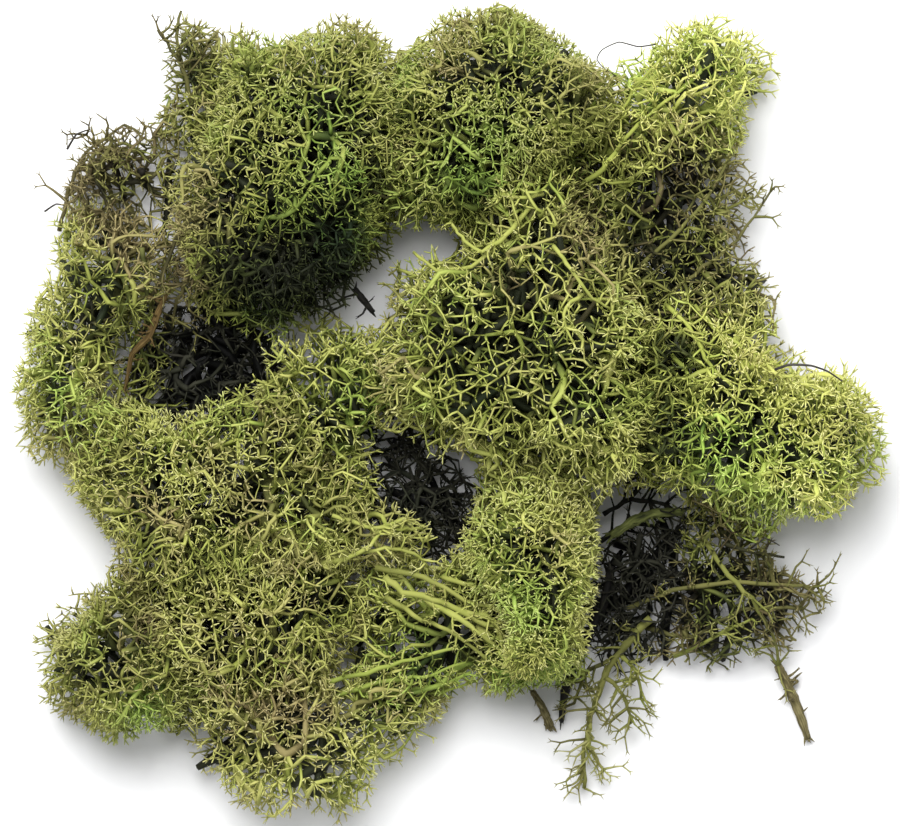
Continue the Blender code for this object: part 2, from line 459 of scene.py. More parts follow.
    # Every branch runs from its fork through its main followers to a tip.
    strands = Strands()
    starts = {}
    live = np.flatnonzero(feeds > 0)
    for here in live.tolist():
        up = parent[here]
        if up >= 0 and (main[up] != here or parent[up] < 0):
            chain = [up, here]
            while main[chain[-1]] >= 0:
                chain.append(main[chain[-1]])
            starts.setdefault(len(chain), []).append(chain)
    for count, chains in sorted(starts.items()):
        chains = np.array(chains)
        places = all_points[chains]
        back = np.where(parent[chains[:, 0]] >= 0, parent[chains[:, 0]], chains[:, 0])
        onward = unit(places[:, 0] - all_points[back])
        first = places[:, 1] - places[:, 0]
        leave = first + 0.55 * np.linalg.norm(first, axis=1, keepdims=True) * onward
        line = smooth_through(places, leave)
        radius = bore[chains]
        radius[:, 0] = np.minimum(radius[:, 1] * 1.05, radius[:, 0])
        radius, tone = halfway(radius), halfway(age_and_shade[chains])
        if count == 2:
            line, radius, tone = line[:, ::2], radius[:, ::2], tone[:, ::2]
        widest = radius.max(1)
        for least, most, sides in ((0.62, 9.0, 5), (0.34, 0.62, 4), (0.0, 0.34, 3)):
            pick = (widest > least) & (widest <= most)
            strands.add(line[pick], radius[pick] * mm, tone[pick], shade[chains[pick, -1]], sides)

    # Twigs that have grown together close the net near the surface.
    ways = [[] for _ in knots]
    for here in live.tolist():
        up = parent[here]
        if up >= 0:
            way = Vector(all_points[here] - all_points[up]).normalized()
            ways[up].append(way)
            if here < len(knots):
                ways[here].append(-way)
    shell_depth, spur_depth, spur_share = 7 * mm, 6 * mm, 0.3
    shell = np.flatnonzero((feeds[:len(knots)] > 0) & (depth < shell_depth))
    shell_tree = tree_of(knots[shell])
    links = []
    for here in draw.permutation(shell).tolist():
        place = Vector(knots[here])
        for spot, number, step in shell_tree.find_n(place, 10)[1:]:
            there = shell[number]
            if len(ways[here]) > 3 or step > 1.5 * gap:
                break
            way = (spot - place).normalized()
            if len(ways[there]) < 4 and all(way.dot(old) < 0.4 for old in ways[here]) and all(
                    -way.dot(old) < 0.4 for old in ways[there]):
                links.append((here, there))
                ways[here].append(way)
                ways[there].append(-way)
    links = np.array(links).reshape(-1, 2)
    ends = knots[links]
    way = unit(ends[:, 1] - ends[:, 0])
    line = bent(ends[:, 0], swayed(way, 0.3, draw), ends[:, 1], swayed(way, 0.3, draw), 3)
    radius = np.array([0.28, 0.22, 0.28]) * draw.uniform(0.85, 1.3, len(links))[:, None]
    strands.add(line, radius * thick * mm, halfway(age_and_shade[links]), shade[links[:, 0]], 3)

    # The points of every star.
    hub_shade, hub_age_and_shade = shade[len(knots):], age_and_shade[len(knots):]
    arm = unit(hubs - knots[owner])
    facing = unit(0.55 * facing + 0.6 * arm + draw.normal(0, 0.2, facing.shape))
    side = across(facing, draw)
    other = np.cross(facing, side)
    for number, (chance, clock) in enumerate(((1.0, 0), (1.0, 0.5), (0.6, 0.25), (0.3, 0.75))):
        some = draw.random(len(hubs)) < chance
        count = some.sum()
        turn = 2 * np.pi * (clock + draw.uniform(-0.12, 0.12, count))
        lean = np.radians(draw.uniform(18, 60, count))
        spread = (np.cos(turn)[:, None] * side[some] + np.sin(turn)[:, None] * other[some])
        leave = unit(np.cos(lean)[:, None] * facing[some] + np.sin(lean)[:, None] * spread)
        size = 1.15 * prong * mm * draw.uniform(0.7, 1.25, count)[:, None]
        width = draw.uniform(0.88, 1.12, count)[:, None] * thick
        tone = hub_age_and_shade[some][:, None] + np.array([0.0, 0.16])
        if number < 2:
            line = bent(hubs[some], leave, hubs[some] + size * leave, leave, 2)
            strands.add(line, width * np.array([0.19, 0.12]) * mm, tone, hub_shade[some], 3)
        else:
            strands.add_points(hubs[some], hubs[some] + 1.1 * size * leave, 0.22 * width[:, 0] * mm,
                               tone, hub_shade[some])

    # Short spurs on the branches near the surface.
    spots = np.flatnonzero((feeds[:len(knots)] > 0) & (depth < spur_depth))
    spots = spots[draw.random(len(spots)) < spur_share]
    way = unit(draw.normal(0, 1, (len(spots), 3)) + (0, 0, 0.4))
    size = prong * mm * draw.uniform(0.8, 1.4, len(spots))[:, None]
    tone = age_and_shade[spots][:, None] + np.array([0.0, 0.1])
    strands.add_points(knots[spots], knots[spots] + 1.2 * size * way, 0.24 * thick * mm, tone,
                       shade[spots])

    # Old dead stems lie close together in the middle and at the foot. Their near-black colour is
    # the old wood, and also paints the shade deep inside the tuft.
    old_gap, foot = 5.4 * mm, 5 * mm
    spots = shaken_grid(low, high, old_gap, draw)
    spots = spots[spots[:, 2] > 1.5 * mm]
    inside = limit(spots)[0] - skin.outside(spots)
    spots = spots[(inside > deep) | ((inside > 4.5 * mm) & (spots[:, 2] < foot))]
    way = unit(draw.normal(0, 1, spots.shape) * (1, 1, 0.45))
    reach = draw.uniform(5, 7.5, len(spots))[:, None] * mm * way
    line = bent(spots - reach, swayed(way, 0.5, draw), spots + reach, swayed(way, 0.5, draw), 4)
    radius = draw.uniform(0.7, 1.15, len(spots))[:, None] * np.array([0.7, 1, 1, 0.6]) * mm
    strands.add(line, radius, np.full(radius.shape, 0.06), draw.normal(tint, 0.1, len(spots)), 4)
    for stem in stems:
        add_stem(strands, draw, *stem)
    return strands


class Wire:
    """A socket that can be used in sums."""

    def __init__(self, recipe, socket):
        self.recipe, self.socket = recipe, socket

    def sum(self, operation, first, second):
        return self.recipe.node("ShaderNodeMath", {0: first, 1: second}, operation=operation)

    def __add__(self, other):
        return self.sum("ADD", self, other)

    def __mul__(self, other):
        return self.sum("MULTIPLY", self, other)

    __radd__, __rmul__ = __add__, __mul__


class Recipe:
    """One material and the nodes that are added to it."""

    def __init__(self, name):
        self.material = bpy.data.materials.new(name)
        self.material.use_nodes = True
        self.tree = self.material.node_tree
        self.shader = self.tree.nodes["Principled BSDF"]

    def node(self, kind, sockets=(), output=0, **settings):
        """Adds a node: its settings first, and then the values or wires of its sockets."""
        made = self.tree.nodes.new(kind)
        for name, value in settings.items():
            if name == "stops":
                ramp = made.color_ramp
                for at, colour in value[len(ramp.elements):]:
                    ramp.elements.new(at)
                for element, (at, colour) in zip(ramp.elements, value):
                    element.position = at
                    element.color = (*colour, 1.0)
            else:
                setattr(made, name, value)
        for name, value in dict(sockets).items():
            self.feed(made.inputs[name], value)
        return Wire(self, made.outputs[output])

    def feed(self, socket, value):
        """A wire is linked, and a number or colour is set."""
        if isinstance(value, Wire):
            self.tree.links.new(value.socket, socket)
        else:
            socket.default_value = value

    def between(self, share, low, high):
        """Mixes two colours."""
        return self.node("ShaderNodeMix", {0: share, 6: low, 7: high}, 2, data_type="RGBA")

    def finish(self, colour, rough, shine):
        """Feeds the surface, and gives the material."""
        inputs = self.shader.inputs
        self.feed(inputs["Base Color"], colour)
        self.feed(inputs["Roughness"], rough)
        self.feed(inputs["Specular IOR Level"], shine)
        return self.material


# From the dark old stem to the pale tip, for lichen that is olive, vivid green or gone brown.
# The near-black first stop is also the painted shade deep in the tufts.
olive_stops = ((0.008, 0.009, 0.007), (0.053, 0.067, 0.016), (0.238, 0.266, 0.053),
               (0.41, 0.415, 0.120), (0.55, 0.54, 0.24))
vivid_stops = ((0.005, 0.010, 0.006), (0.042, 0.075, 0.015), (0.18, 0.27, 0.044),
               (0.33, 0.43, 0.095), (0.47, 0.53, 0.19))
browned_stops = ((0.008, 0.007, 0.006), (0.042, 0.034, 0.015), (0.170, 0.138, 0.060),
                 (0.30, 0.25, 0.110), (0.43, 0.37, 0.19))


def lichen_finish(name, light, grey=0.0):
    """Matt branches whose colour goes from the dark old stem to the pale tip; the dark end is also
    painted shade.
    """
    recipe = Recipe(name)
    place = recipe.node("ShaderNodeUVMap", uv_map="OFBake")
    age_and_shade = recipe.node("ShaderNodeSeparateXYZ", {0: place})
    tint = Wire(recipe, age_and_shade.socket.node.outputs[1])
    olive, vivid, browned = (
        recipe.node("ShaderNodeValToRGB", {0: age_and_shade}, stops=[
            (at, [light * (part + grey * (colour[0] - part)) for part in colour])
            for at, colour in zip((0.0, 0.3, 0.62, 0.86, 1.0), stops)])
        for stops in (olive_stops, vivid_stops, browned_stops))
    greener = recipe.node("ShaderNodeMapRange", {0: tint, 1: 0.55, 2: 0.95})
    browner = recipe.node("ShaderNodeMapRange", {0: tint, 1: 0.45, 2: 0.05})
    colour = recipe.between(browner, recipe.between(greener, olive, vivid), browned)
    return recipe.finish(colour, 0.72 + 0.18 * age_and_shade, 0.2)


def put(name, data):
    """Puts a new object in the scene."""
    thing = bpy.data.objects.new(name, data)
    bpy.context.scene.collection.objects.link(thing)
    return thing


def place_piece(mesh, finish, node=None):
    """Puts a piece in the scene in its finish, in the place of its CAD node."""
    piece = put(mesh.name, mesh)
    mesh.shade_smooth()
    mesh.materials.append(finish)
    if node:
        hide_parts(node)
    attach(piece, "root")


def grow(node, finish, slot, **facts):
    """Makes a tuft out of its facts."""
    place_piece(lichen(node, **facts).mesh(node + "_branches"), finish, node)


fresh = lichen_finish("Lichen fresh", 1.16)
# In every tuft the dim spots darken the branches as painted shade, in the valleys and on flanks
# turned from the lamp, and a negative amount lightens them as painted light.
grow("tuft_middle", fresh, "lichen_fresh", root=(12, 12, 4), seed=1, star_gap=2.9, prong=1.45,
     heads=16, crevice=4.5, thick=1.1, deep_share=0.4,
     patches=((-5, 5, 8, 0.25), (31, 36, 11, -0.4), (12, 26, 5, -0.25), (-12, 4, 6, -0.25),
              (30, -2, 10, 0.12)),
     dim=((38, 46, 12, 0.3), (45, 6, 6, 0.5), (44, -10, 5, 0.4), (10, 30, 5, 0.12),
              (20, 14, 5, 0.12)), dense=((-12, 4, 6, 0.38), (34, -8, 12, 0.25), (38, 5, 10, 0.15)),
     bare=((2, 32, 5), (12, 40, 4)), join=5, stems=(
    (1.2, 0.7, 0.46, 5, 3, ((18, 43, 36), (12, 36, 40), (5, 30, 40), (-2, 29, 36), (-7, 33, 30))),
    (1.1, 0.7, 0.48, 5, 3, ((12, 36, 41), (7, 33, 42), (3, 36, 39), (1, 39, 35))),
    (1.0, 0.66, 0.44, 5, 3, ((20, 45, 38), (15, 44, 40), (11, 45, 37))),
    (1.0, 0.68, 0.48, 5, 3, ((22, 34, 47), (26, 29, 49), (29, 24, 49), (34, 21, 44))),
    (0.9, 0.7, 0.5, 5, 3, ((28, 24, 48), (24, 20, 50), (26, 14, 51)))))


# ---- The top left tuft ----
# A large tuft that leans over the gap. Its top is finely branched, and its lower flank, turned
# from the lamp, is darkened nearly to black by painted shade.
olive = lichen_finish("Lichen olive", 0.95)
grow("tuft_top_left", olive, "lichen_fresh", root=(-36, 50, 3), seed=2, gap=2.91, star_gap=2.12,
     prong=1.35,
     patches=((-24, 58, 11, 0.35), (-24, 40, 9, 0.25), (-55, 32, 12, -0.45), (-40, 75, 10, 0.12),
              (-50, 50, 7, -0.2), (-36, 24, 10, 0.15)),
     dim=((-22, 28, 12, 0.7), (-38, 26, 11, 0.6), (-52, 30, 8, 0.2), (-14, 46, 6, 0.4),
              (-32, 40, 10, 0.15)), join=4, stems=(
    (1.1, 0.42, 0.12, 12, 5, ((-50, 34, 26), (-54, 28, 24), (-57, 22, 20), (-58, 17, 15))),
    (1.0, 0.38, 0.12, 12, 5, ((-56, 38, 24), (-59, 30, 22), (-62, 24, 17), (-62, 17, 12)))))


# ---- The top middle tuft ----
# A dense cushion with the finest points of all, browned at its far edge.
grow("tuft_top_middle", olive, "lichen_olive", root=(12, 58, 3), seed=3, gap=2.91, star_gap=1.84,
     prong=1.2, heads=13, crevice=1.6, tint=0.53,
     patches=((30, 68, 8, -0.25), (3, 50, 10, 0.3), (24, 58, 8, -0.15), (-6, 66, 8, 0.1)), join=5,
     dim=((6, 43, 6, 0.4), (26, 52, 6, 0.3), (-10, 60, 4, 0.3)))


# ---- The top right tuft ----
# A pale head. Its long stems lean out from the lower left, where few twigs hide them.
pale = lichen_finish("Lichen pale", 1.48)
grow("tuft_top_right", pale, "lichen_pale", root=(33, 55, 6), seed=4, star_gap=2.31, heads=13,
     tint=0.55, patches=((48, 60, 9, -0.2),), bare=((33, 55, 9),), stems=(
    (1.2, 0.56, 0.5, 10, 4, ((28, 47, 20), (34, 52, 25), (40, 60, 27), (48, 66, 30))),
    (1.0, 0.54, 0.45, 9, 4, ((26, 53, 18), (34, 59, 25), (39, 67, 27), (45, 74, 29))),
    (1.0, 0.5, 0.35, 9, 4, ((33, 44, 18), (41, 50, 23), (48, 57, 27), (56, 61, 29)))))


# ---- The shaded tuft on the right ----
# A low, browned tuft between its higher neighbours.
brown = lichen_finish("Lichen brown", 0.8)
grow("tuft_right_shaded", brown, "lichen_brown", root=(45, 38, 2), seed=5, gap=3.22, star_gap=2.7,
     heads=12, tint=0.25, patches=((60, 50, 8, 0.15), (66, 24, 8, 0.2)),
     dim=((44, 50, 9, 0.3), (40, 32, 7, 0.35), (52, 32, 6, 0.2)), stems=(
    (1.1, 0.55, 0.25, 9, 4, ((40, 30, 18), (47, 36, 21), (54, 44, 22), (60, 54, 20))),
    (1.0, 0.5, 0.2, 8, 4, ((46, 24, 18), (54, 30, 22), (61, 36, 22), (68, 46, 18)))))


# ---- The middle left tuft ----
# An open tuft with wide cells between thick branches.
grow("tuft_middle_left", fresh, "lichen_pale", root=(-26, -4, 2), seed=6, gap=3.22, star_gap=2.84,
     heads=13, crevice=4, thick=1.1, deep_share=0.4, patches=((-20, 12, 7, 0.1),),
     dim=((-16, 4, 5, 0.2), (-22, -18, 5, 0.25)), join=5.0)


# ---- The right tuft ----
# A large pale head on bare stems that rise from the valley beside the middle tuft.
grow("tuft_right", pale, "lichen_pale", root=(54, 4, 4), seed=7, star_gap=2.52, heads=15,
     crevice=4, tint=0.53,
     patches=((54, -9, 9, 0.5), (64, -20, 8, 0.2), (78, -18, 8, -0.15), (84, 0, 9, -0.1)),
     dim=((46, -4, 6, 0.5), (46, 12, 6, 0.45)), dense=((82, 2, 12, 0.2), (76, -18, 8, 0.3)),
     bare=((52, 12, 6),), stems=(
    (1.1, 0.6, 0.55, 8, 4, ((46, 22, 22), (51, 17, 29), (55, 9, 33), (61, 4, 36))),
    (1.0, 0.58, 0.62, 7, 4, ((45, 14, 22), (50, 8, 29), (52, 1, 33), (55, -7, 34))),
    (1.0, 0.58, 0.5, 7, 4, ((52, 22, 23), (57, 16, 29), (64, 12, 33), (70, 9, 35)))))


# ---- The left tuft ----
# A narrow tuft along the side, dark where the brown stem crosses it.
grow("tuft_left", fresh, "lichen_olive", root=(-76, 12, 3), seed=8, gap=3.02, star_gap=2.31,
     prong=1.45, tint=0.47, patches=((-70, 36, 9, -0.3), (-66, 4, 8, -0.25), (-84, 8, 8, 0.1)),
     dim=((-68, 16, 7, 0.35), (-74, 26, 5, 0.15)), dense=((-80, 34, 8, -0.2),), stems=(
    (1.0, 0.36, 0.4, 14, 5, ((-68, 28, 24), (-66, 20, 20), (-64, 12, 15), (-62, 4, 12))),
    (1.0, 0.32, 0.35, 12, 5, ((-66, 24, 18), (-62, 16, 13), (-60, 9, 9))),
    (1.0, 0.34, 0.3, 14, 5, ((-64, 34, 24), (-63, 26, 20), (-62, 18, 15), (-64, 8, 10))),
    (1.0, 0.3, 0.35, 12, 5, ((-70, 22, 18), (-66, 14, 13), (-66, 5, 8))),
    (1.0, 0.5, 0.42, 16, 5, ((-72, 12, 16), (-70, 6, 15), (-66, 2, 13), (-62, 1, 10)))))


# ---- The low left tufts ----
# Two halves of one broad, dry mass. A dark slit parts them, and short stems cross its right end.
grow("tuft_low_left", fresh, "lichen_fresh", root=(-46, -16, 3), seed=9, gap=3.02, star_gap=2.21,
     prong=1.4, tint=0.37, patches=((-30, -24, 7, 0.15),), dense=((-40, -12, 10, 0.15),),
     dim=((-70, -6, 5, 0.2), (-50, -31, 4, 0.35), (-62, -30, 4, 0.25), (-48, -14, 14, -0.05)),
     bare=((-14, -26, 7),), stems=(
    (1.3, 0.7, 0.46, 6, 3, ((-26, -32, 26), (-21, -31, 29), (-16, -28, 30), (-13, -24, 28))),
    (1.1, 0.68, 0.44, 6, 4, ((-24, -22, 29), (-17, -24, 30), (-10, -25, 27), (-5, -25, 22))),
    (1.0, 0.66, 0.44, 5, 3, ((-20, -30, 28), (-13, -29, 28), (-7, -30, 25), (-4, -33, 22)))))
grow("tuft_low_middle", fresh, "lichen_fresh", root=(-40, -44, 3), seed=10, gap=3.02, star_gap=2.31,
     prong=1.4, heads=13, tint=0.37, patches=((-26, -46, 6, 0.1),),
     dim=((-24, -42, 5, 0.2), (-52, -32, 4, 0.25), (-42, -46, 12, -0.05)))


# ---- The corner tuft ----
# Olive, with a vivid patch low down on its outer side.
grow("tuft_corner", olive, "lichen_olive", root=(-70, -52, 3), seed=11, gap=2.91, star_gap=2.10,
     prong=1.3, heads=12, tint=0.38, patches=((-64, -66, 7, 0.5),), dim=((-60, -46, 5, 0.25),))


# ---- The bottom tuft ----
# Browned on its crown, loose at its edge, and paler to the right.
grow("tuft_bottom", fresh, "lichen_brown", root=(-33, -66, 3), seed=12, gap=3.3, star_gap=2.5,
     prong=1.35, heads=12, lumps=2.6, tint=0.38, patches=((-36, -62, 10, -0.4), (-16, -74, 7, 0.2)),
     dim=((-33, -66, 18, -0.09),))


# ---- The tuft that lies on its side ----
# Its stems lie side by side and end where the tuft was pulled from the ground. The upper ones
# are dry, and the lower ones are green.
grow("tuft_side_on", fresh, "lichen_fresh", root=(12, -47, 6), seed=13, star_gap=2.84, prong=1.4,
     heads=12, crevice=2.5, tint=0.52, bare=((8, -47, 14),), patches=((-8, -54, 8, 0.25),),
     dim=((4, -46, 10, 0.3), (-4, -52, 6, 0.2)), stems=(
    (1.8, 0.66, 0.4, 6, 3, ((-13, -35, 23), (-9, -38, 24.5), (-1, -40, 25), (8, -45, 24),
                             (16, -46, 23))),
    (1.4, 0.6, 0.34, 6, 3, ((-15, -33, 22), (-5, -35, 24), (4, -40, 24), (14, -43, 23))),
    (1.1, 0.64, 0.38, 5, 3, ((-1, -35, 23), (5, -37, 24.5), (11, -40, 24), (15, -42, 23))),
    (1.6, 0.68, 0.44, 5, 3, ((-5, -39, 24), (3, -44, 25), (7, -47, 24), (13, -52, 21))),
    (1.3, 0.64, 0.38, 5, 3, ((2, -42, 24.5), (8, -43, 25), (11, -46, 25), (12, -52, 23))),
    (1.2, 0.6, 0.36, 5, 3, ((-13, -39, 22), (-5, -44, 23.5), (2, -47, 23), (9, -53, 21))),
    (1.3, 0.62, 0.66, 7, 3, ((-26, -57, 20), (-17, -55, 23), (-7, -52, 23), (2, -50, 22))),
    (1.2, 0.6, 0.72, 7, 3, ((-23, -60, 18), (-14, -57, 21), (-5, -56, 22), (4, -53, 20))),
    (1.1, 0.56, 0.78, 7, 3, ((-18, -60, 16), (-10, -59, 19), (-2, -58, 20), (5, -55, 18))),
    (1.0, 0.6, 0.66, 6, 3, ((-13, -61, 13), (-7, -60, 16), (0, -59, 17), (6, -57, 15)))))


# ---- The round head ----
# A close, bright ball of very fine points.
grow("tuft_ball", fresh, "lichen_fresh", root=(18, -36, 3), seed=14, gap=2.81, star_gap=1.73,
     prong=1.15, heads=15, crevice=2, lumps=0.8,
     patches=((20, -54, 10, 0.35), (14, -34, 6, 0.03)), dim=((14, -54, 5, 0.15),))


# ---- The dark ground tufts ----
# Twigs that fill the hollows between the tufts and swell out over the ground there. They are old
# and dark, and their near-black, greyed finish, the lichen at 0.08 of its brightness, also paints
# the shade of the hollows and of the ground under the overhanging tufts.
dark = lichen_finish("Lichen dark", 0.08, grey=0.5)
low = dict(gap=3, star_gap=2.9, lumps=2.0)
grow("tuft_in_shadow", dark, "lichen_olive", root=(-51, 11, 2), seed=15, heads=9, crevice=2,
     swell=5.5, **low, stems=(
    (0.8, 0.6, 0.3, 14, 5, ((-52, 12, 8), (-44, 17, 9), (-37, 22, 8), (-30, 25, 5))),
    (0.7, 0.6, 0.3, 12, 5, ((-50, 16, 8), (-46, 24, 8), (-38, 29, 7), (-32, 31, 5))),
    (0.7, 0.5, 0.3, 14, 5, ((-60, 27, 9), (-63, 19, 8), (-66, 11, 7), (-66, 4, 5))),
    (0.9, 0.4, 0.3, 14, 5, ((-57, 22, 5), (-60, 14, 5), (-63, 6, 4))),
    (0.9, 0.5, 0.3, 8, 4, ((-44, 10, 6), (-38, 9, 5), (-33, 11, 4)))))
grow("tuft_in_hollow", dark, "lichen_olive", root=(-5, -16, 2), seed=20, heads=9, crevice=2,
     swell=4, **low, stems=(
    (0.8, 0.5, 0.3, 14, 5, ((-8, -12, 8), (-6, -20, 8), (-4, -27, 6), (-1, -32, 4))),
    (0.7, 0.5, 0.3, 14, 5, ((-16, -9, 6), (-10, -7, 8), (-3, -6, 7))),
    (0.7, 0.5, 0.3, 12, 5, ((-5, -31, 5), (0, -29, 6), (4, -25, 6))),
    (0.7, 0.5, 0.3, 12, 5, ((-12, -14, 6), (-6, -18, 7), (2, -20, 6))),
    (0.7, 0.5, 0.3, 16, 5, ((-21, -6, 5), (-15, -4, 6), (-8, -4, 6))),
    (0.7, 0.4, 0.3, 16, 5, ((-19, -9, 4), (-13, -6, 5), (-6, -7, 5)))))


# ---- The sprigs ----
# Thin, sparse pieces at the edges of the heap, mostly brown, on stems that show. The bottom one
# has no net, only stems and their forked twigs.
grow("sprig_left", brown, "lichen_brown", root=(-70, 50, 3), seed=16, star_gap=2.73, heads=9,
     crevice=2, swell=0.6, tint=0.08, dim=((-66, 50, 9, 0.2),), stems=(
    (1.0, 0.5, 0.1, 9, 5, ((-82, 38, 6), (-80, 46, 11), (-76, 54, 15), (-68, 60, 17))),
    (0.9, 0.5, 0.1, 8, 4, ((-62, 48, 12), (-69, 52, 16), (-76, 58, 14)))))
grow("sprig_top", brown, "lichen_olive", root=(-54, 68, 3), seed=17, star_gap=2.73, heads=8,
     crevice=1, swell=0.5, thick=1.1, tint=0.4, dim=((-56, 72, 6, 0.2),), stems=(
    (1.1, 0.45, 0.2, 9, 5, ((-53, 62, 14), (-55, 70, 18), (-57, 77, 18), (-56, 84, 15))),
    (0.9, 0.4, 0.2, 7, 4, ((-55, 70, 18), (-58, 76, 17), (-61, 80, 14)))))
grow("sprig_right", brown, "lichen_brown", root=(55, -35, 3), seed=18, gap=3, star_gap=2.6,
     heads=10, crevice=2, swell=0.8, tint=0.18,
     dim=((48, -38, 10, 0.35), (58, -50, 8, 0.35), (64, -40, 10, 0.2), (60, -28, 8, 0.2)), stems=(
    (1.3, 0.55, 0.22, 12, 5, ((38, -42, 7), (48, -38, 11), (60, -36, 15), (72, -37, 13),
                              (78, -37, 10))),
    (1.2, 0.6, 0.35, 10, 5, ((54, -27, 12), (58, -33, 15), (64, -40, 15), (69, -48, 9),
                              (70, -54, 4))),
    (1.2, 0.45, 0.2, 10, 4, ((42, -46, 6), (52, -48, 10), (62, -42, 14), (75, -42, 10))),
    (1.0, 0.2, 0.2, 6, 4, ((58, -28, 14), (65, -30, 15), (71, -31, 13))),
    (1.1, 0.6, 0.45, 9, 4, ((48, -52, 7), (56, -48, 12), (64, -44, 15)))))

strands = Strands()
draw = np.random.default_rng(19)
for stem in (
        (2.0, 0.55, 0.3, 10, 4, ((43, -44, 9), (38, -49, 9), (35, -53, 8), (33, -57, 7))),
        (1.7, 0.62, 0.3, 22, 5, ((34, -54, 7), (32, -60, 7), (30, -66, 6), (29, -73, 4.5),
                                  (29, -80, 3))),
        (1.2, 0.8, 0.5, 12, 4, ((30, -66, 6), (30, -71, 5), (33, -76, 4))),
        (1.2, 0.6, 0.3, 14, 5, ((33, -56, 7), (37, -60, 7), (39, -66, 5))),
        (1.1, 0.45, 0.25, 14, 5, ((34, -53, 7), (29, -56, 6), (27, -62, 4))),
        (1.2, 0.65, 0.45, 12, 4, ((36, -51, 8), (40, -55, 8), (41, -61, 5)))):
    add_stem(strands, draw, *stem)
place_piece(strands.mesh("sprig_bottom_branches"), brown, "sprig_bottom")
# The dark sprig is old twigs in the near-black finish, which also paints the shade of the gap
# between the ball and the right tuft.
grow("sprig_dark", dark, "lichen_brown", root=(42, -36, 2), seed=21, heads=8, crevice=1,
     swell=4.5, tint=0.4, **low, stems=(
    (1.3, 0.6, 0.3, 16, 6, ((41, -26, 9), (39, -33, 8), (33, -40, 6), (29, -48, 3))),
    (1.2, 0.6, 0.3, 16, 6, ((35, -32, 8), (42, -36, 8), (50, -44, 5))),
    (1.2, 0.5, 0.3, 16, 6, ((34, -36, 7), (37, -44, 6), (34, -52, 4))),
    (1.1, 0.5, 0.3, 18, 6, ((33, -22, 8), (39, -19, 8), (46, -20, 7), (52, -24, 5))),
    (1.1, 0.4, 0.3, 18, 6, ((32, -28, 6), (38, -24, 5), (46, -25, 5), (54, -28, 4)))))


# ---- The bare stalks ----
# Old stems that have lost their branches: a brown one across the left tuft, two black ones, a
# green one in the valley, and two short ones that stick out of the lower edge. All are knobbly
# and grooved, with stubs where branches were, and split ends.

def bark_finish(name, stops, rough=0.8):
    """Grooved bark that runs along the stalk."""
    recipe = Recipe(name)
    place = recipe.node("ShaderNodeUVMap", uv_map="OFBake")
    along = recipe.node("ShaderNodeMapping", {0: place, 3: (5.0, 11.0, 1.0)})
    grain = recipe.node("ShaderNodeTexNoise", {"Vector": along, "Scale": 1.0, "Detail": 5.0})
    stops = list(zip((0.3, 0.5, 0.68), stops))
    colour = recipe.node("ShaderNodeValToRGB", {0: grain}, stops=stops)
    bump = recipe.node("ShaderNodeBump", {"Strength": 0.5, "Distance": 0.2 * mm, "Height": grain})
    recipe.feed(recipe.shader.inputs["Normal"], bump)
    return recipe.finish(colour, rough + 0.15 * grain, 0.25)


def new_shape():
    """An empty shape whose corners keep how far along and around a stem they are."""
    shape = bmesh.new()
    shape.verts.layers.float.new("length")
    shape.verts.layers.float.new("turn")
    return shape


def mesh_of(shape, name):
    """The finished shape as a mesh."""
    mesh = bpy.data.meshes.new(name)
    shape.to_mesh(mesh)
    shape.free()
    return mesh


def tube(shape, line, radius, sides):
    """A round stem along a line, closed at both ends."""
    length = shape.verts.layers.float["length"]
    turned = shape.verts.layers.float["turn"]
    line = [Vector(point) for point in line]
    ahead = [(after - here).normalized() for here, after in zip(line, line[1:])]
    ahead.append(ahead[-1])
    seat = Vector((0, 0, 1)).rotation_difference(ahead[0])
    start = bmesh.ops.create_circle(
        shape, cap_ends=True, segments=sides, radius=radius[0],
        matrix=Matrix.LocRotScale(line[0], seat, None))["verts"]
    for number, corner in enumerate(start):
        corner[turned] = number / sides
    face = start[0].link_faces[0]
    for step in range(1, len(line)):
        covered = face
        drawn = bmesh.ops.extrude_face_region(shape, geom=[covered])["geom"]
        face = next(item for item in drawn if isinstance(item, bmesh.types.BMFace))
        if step > 1:
            bmesh.ops.delete(shape, geom=[covered], context="FACES_ONLY")
        bend = ahead[step - 1].rotation_difference(ahead[step]).to_matrix().to_4x4()
        size = Matrix.Scale(radius[step] / radius[step - 1], 4)
        move = Matrix.Translation(line[step]) @ bend @ size @ Matrix.Translation(-line[step - 1])
        bmesh.ops.transform(shape, matrix=move, verts=face.verts)
        for corner in face.verts:
            corner[length] = step / (len(line) - 1)


